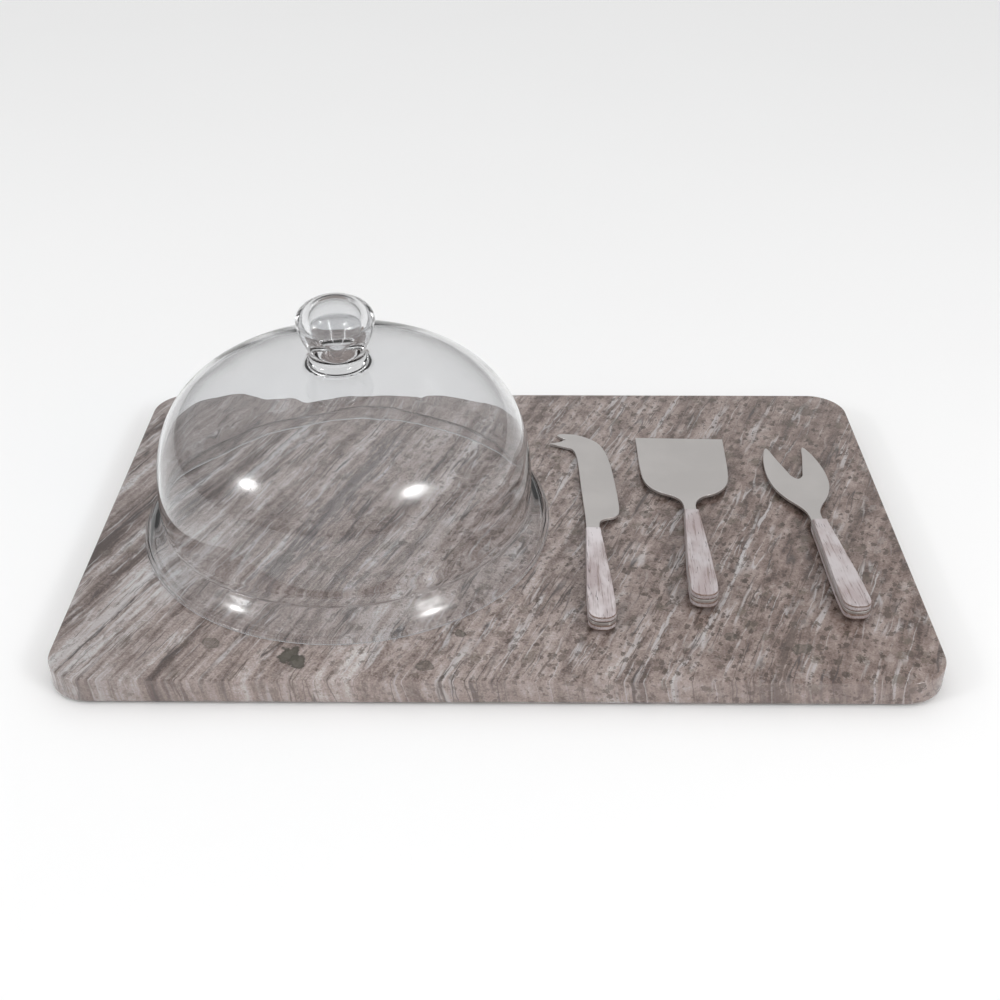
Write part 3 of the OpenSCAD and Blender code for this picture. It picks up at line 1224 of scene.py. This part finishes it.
    def bubble(self, seat: Vector, top: float) -> bpy.types.Object:
        """Return the air inside the knob, facing inwards, as a pear of air.

        Args:
            seat: the middle of the knob's foot.
            top: the height of the knob's top.
        """
        low, high = self.bubble_floor, top - seat.z - self.bubble_roof
        Bench.clear()
        bpy.ops.mesh.primitive_uv_sphere_add(
            segments=96, ring_count=64, radius=1.0, location=(0, 0, 0)
        )
        bubble = Bench.name("knob_bubble")
        for vertex in bubble.data.vertices:
            x, y, z = vertex.co
            share = (z + 1) / 2
            swell = self.bubble_waist + (self.bubble_radius - self.bubble_waist) * (
                share * share * (3 - 2 * share)
            )
            vertex.co = seat + Vector((x * swell, y * swell, low + (high - low) * share))
        Bench.edit(bubble)
        bpy.ops.mesh.select_all(action="SELECT")
        bpy.ops.mesh.normals_make_consistent(inside=True)
        bpy.ops.object.mode_set(mode="OBJECT")
        return bubble

    def unevenness(self, bell: bpy.types.Object, axis: Vector) -> None:
        """Draw the crease in, and let the walls waver as blown glass does.

        Args:
            bell: the glass.
            axis: the middle of its rim.
        """
        outward = [vertex.normal.copy() for vertex in bell.data.vertices]
        for vertex, facing in zip(bell.data.vertices, outward):
            place = vertex.co - axis
            spread = (place.xy.length - self.calm_radius) / self.calm_reach
            if spread <= 0:
                continue
            out = Vector((place.x, place.y, place.z - 30 * MM)).normalized()
            wave = noise.noise(place * 17 + Vector((3.1, 0.4, 7.7)))
            small = noise.noise(place * 48 + Vector((9.2, 5.1, 1.3)))
            flute = noise.noise(Vector((place.x * 170, place.y * 170, place.z * 30)))
            above = place.z - self.flare_height
            pinch = math.exp(-((above / self.crease_reach) ** 2)) * self.crease
            near = math.exp(-(((above - self.flute_rise) / self.flute_reach) ** 2))
            shift = wave * self.waver + small * self.ripple
            if out.dot(facing) > 0:
                shift = (shift - self.waver) * self.outer_waver_share
            else:
                pinch *= self.inner_crease_share
            shift += flute * near * self.flute - pinch
            vertex.co += out * shift * min(1.0, place.z / self.calm_rim, spread)


class Tool(Enum):
    """The three cheese tools, by the name of their body."""

    KNIFE = "knife"
    SPADE = "spade"
    FORK = "fork"


@dataclass
class CheeseTool:
    """One tool: a steel blade with its tang between two wooden scales.

    Attributes:
        tool: which tool.
        heading: the way it points, in degrees anticlockwise from the board's back.
        paleness: how pale its paint is beside the usual.
        steel_edge: the rounding of the steel.
        scale_edge: the rounding of the wood.
        grain_size: the size of the wood's facets.
        edge_band_depth: how far from an edge the brown band on the sides reaches, where
            paint is worn off and where painted shade marks the joint lines.
        butt_reach: how far from the butt the band is strongest.
        rough: how far the wood's faces waver.
        nick_depth: how deep a nick is.
    """

    tool: Tool
    heading: float
    paleness: float = 1.0
    steel_edge: float = 0.35 * MM
    scale_edge: float = 0.9 * MM
    grain_size: float = 0.42 * MM
    edge_band_depth: float = 1.5 * MM
    butt_reach: float = 9 * MM
    rough: float = 0.12 * MM
    nick_depth: float = 0.5 * MM

    def build(self) -> None:
        """Model and dress the blade, the two scales and the pins."""
        name = self.tool.value
        steel = SatinSteel(heading=self.heading).material()
        dress(self.blade(), steel, name, [f"{name}_blade"])
        for i, side in enumerate(("upper", "lower")):
            wood = WhitewashedWood(
                chalk=tuple(self.paleness * part for part in WhitewashedWood.chalk),
                heading=self.heading,
                seed=0.37 * i + 0.11 * len(name),
            ).material()
            node = f"{name}_{side}_scale"
            dress(self.scale(node, side), wood, name, [node])
        pins = bpy.data.objects[f"{name}_pins"]
        pins.data.materials.clear()
        pins.data.materials.append(steel)

    def blade(self) -> bpy.types.Object:
        """Return the steel with its edges broken."""
        blade = Bench.merged_copy(f"{self.tool.value}_blade", f"{self.tool.value}_steel")
        Bench.break_edges(blade, self.steel_edge, 3)
        Bench.smooth(blade, 40)
        Bench.modify(blade, "WEIGHTED_NORMAL", keep_sharp=True, weight=100)
        return blade

    def scale(self, node: str, side: str) -> bpy.types.Object:
        """Return one wooden scale, its edges rounded and its faces uneven.

        Args:
            node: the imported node.
            side: upper or lower.
        """
        scale = Bench.merged_copy(node, f"{self.tool.value}_{side}_wood")
        Bench.break_edges(scale, self.scale_edge, 4)
        Bench.modify(
            scale, "REMESH", mode="VOXEL", voxel_size=self.grain_size, adaptivity=0.0
        )
        Bench.modify(scale, "SMOOTH", factor=0.5, iterations=3)
        outward = [vertex.normal.copy() for vertex in scale.data.vertices]
        for vertex, out in zip(scale.data.vertices, outward):
            at = vertex.co.copy()
            slow = noise.noise(at * 120 + Vector((len(node), 0.0, 0.0)))
            nick = noise.noise(Vector((at.x * 900, at.y * 160, at.z * 900)))
            cut = max(nick - 0.35, 0.0) * self.nick_depth
            vertex.co = at + out * (slow * self.rough - cut)
        self.mark_wear_and_seam_shade(scale, outward)
        Bench.smooth(scale, 50)
        return scale

    def mark_wear_and_seam_shade(self, scale: bpy.types.Object, outward: list[Vector]) -> None:
        """Mark the brown band on the side faces near both edges, strongest at the butt. It
        is paint worn off by hands at the outer edges, and painted shade where the scale
        meets the tang and the board.

        Args:
            scale: the scale.
            outward: the way each of its vertices faces.
        """
        top = sum((out for out in outward if out.z > 0.9), Vector()).normalized()
        heights = [vertex.co.dot(top) for vertex in scale.data.vertices]
        low, high = min(heights), max(heights)
        butt = min(vertex.co.y for vertex in scale.data.vertices)
        wear_and_seam_shade = scale.data.attributes.new("wear_and_seam_shade", "FLOAT", "POINT")
        for vertex, height, out in zip(scale.data.vertices, heights, outward):
            upright = min(1.0, 4.0 * (1.0 - abs(out.dot(top))))
            brink = min(height - low, high - height)
            seam = max(0.0, 1.0 - brink / self.edge_band_depth)
            near_butt = max(0.0, 1.0 - (vertex.co.y - butt) / self.butt_reach)
            wear_and_seam_shade.data[vertex.index].value = upright * seam * (0.45 + 0.55 * near_butt)


# ---- the studio --------------------------------------------------------------


@dataclass
class Softbox:
    """A square studio lamp that points at the object.

    Attributes:
        name: its name.
        azimuth: degrees from straight behind the object, towards its right.
        elevation: degrees up.
        distance: metres from the dome's middle.
        width: metres.
        height: metres.
        power: watts.
        edge_glow: how bright the cloth is away from the bulb.
    """

    name: str
    azimuth: float
    elevation: float
    distance: float
    width: float
    height: float
    power: float
    edge_glow: float = 0.12

    def light(self, centre: Vector) -> None:
        """Hang the lamp, facing the centre."""
        az, el = math.radians(self.azimuth), math.radians(self.elevation)
        towards = Vector(
            (math.sin(az) * math.cos(el), math.cos(az) * math.cos(el), math.sin(el))
        )
        lamp = bpy.data.lights.new(self.name, "AREA")
        lamp.shape = "RECTANGLE"
        lamp.size, lamp.size_y = self.width, self.height
        lamp.energy = self.power
        r = Recipe(lamp)
        u, v, _ = r.split(r.node("ShaderNodeNewGeometry").outputs["Parametric"])
        u, v = u - 0.5, v - 0.5
        glow = r.ease(r.maths("SQRT", u * u + v * v), 0.5, 0.0)
        core = glow * glow * glow
        shine = r.node(
            "ShaderNodeEmission", inputs={"Strength": core * core + glow * self.edge_glow}
        )
        r.node("ShaderNodeOutputLight", inputs={0: shine.outputs[0]})
        holder = bpy.data.objects.new(self.name, lamp)
        holder.location = centre + towards * self.distance
        holder.rotation_euler = towards.to_track_quat("Z", "Y").to_euler()
        bpy.context.scene.collection.objects.link(holder)


@dataclass
class Studio:
    """A pale floor, soft lamps and the camera."""

    floor_size: float = 12.0
    floor_colour: Colour = (0.91, 0.91, 0.91)
    backdrop: float = 0.97
    horizon: float = 0.4
    walls: float = 0.48
    ceiling: float = 0.3
    lamps: tuple[Softbox, ...] = (
        Softbox("left_softbox", -119.0, 31.0, 1.9, 1.1, 1.1, 100.0),
        Softbox("right_softbox", 131.0, 30.0, 1.9, 1.3, 1.1, 130.0),
    )
    lens: float = 48.64
    camera_offset: tuple[float, float, float] = (0.005, -0.6845, 0.4701)
    pitch: float = 33.79
    yaw: float = 0.326

    def build(self) -> None:
        """Lay the floor, hang the lamps and set up the camera."""
        self.floor()
        self.world()
        low, high = (Vector(corner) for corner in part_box("dome_shell"))
        for lamp in self.lamps:
            lamp.light((low + high) / 2)
        self.camera()
        bpy.context.scene.view_settings.view_transform = "Standard"

    def floor(self) -> None:
        """Lay a wide pale floor under the feet."""
        Bench.clear()
        bpy.ops.mesh.primitive_plane_add(
            size=self.floor_size, location=(0, 0, cad_box[0][2])
        )
        floor = Bench.name("floor")
        r = Recipe("pale_floor")
        x, y, z = r.place()
        paper = r.noise(r.point(x, y, z), 3.0, 2.0)
        shader = r.principled(
            Base_Color=r.blend(
                paper, self.floor_colour, tuple(0.98 * c for c in self.floor_colour)
            ),
            Roughness=0.9,
        )
        floor.data.materials.append(r.finish(shader.outputs[0]))

    def world(self) -> None:
        """Surround the scene with plain soft light."""
        world = bpy.data.worlds.new("soft_room")
        r = Recipe(world)
        up = r.split(r.node("ShaderNodeTexCoord").outputs["Generated"])[2]
        room = (
            r.ease(up, -0.02, 0.4) * self.walls
            + r.ease(up, 0.3, 1.0) * self.ceiling
            + self.horizon
        )
        path = r.node("ShaderNodeLightPath")
        seen = Value(r, path.outputs["Is Camera Ray"])
        light = room + seen * (self.backdrop - room)
        sky = r.node("ShaderNodeBackground", inputs={"Strength": light})
        r.node("ShaderNodeOutputWorld", inputs={0: sky.outputs[0]})
        bpy.context.scene.world = world

    def camera(self) -> None:
        """Place the camera in front of the board, looking down at it."""
        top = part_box("marble_board")[1][2]
        made = bpy.data.cameras.new("camera")
        made.lens = self.lens
        made.sensor_width = 36.0
        holder = bpy.data.objects.new("camera", made)
        holder.location = Vector(self.camera_offset) + Vector((0, 0, top))
        holder.rotation_euler = (
            math.radians(90 - self.pitch),
            0.0,
            math.radians(self.yaw),
        )
        bpy.context.scene.collection.objects.link(holder)
        bpy.context.scene.camera = holder


def main() -> None:
    """Build every piece and the studio, and note the sizes."""
    logging.basicConfig(level=logging.INFO, format="%(message)s")
    Studio().build()
    ServingBoard().build()
    GlassDome().build()
    for tool in (
        CheeseTool(Tool.KNIFE, heading=0.5, paleness=1.2),
        CheeseTool(Tool.SPADE, heading=-1.5, paleness=0.97),
        CheeseTool(Tool.FORK, heading=3.1),
    ):
        tool.build()


if __name__ == "__main__":
    main()
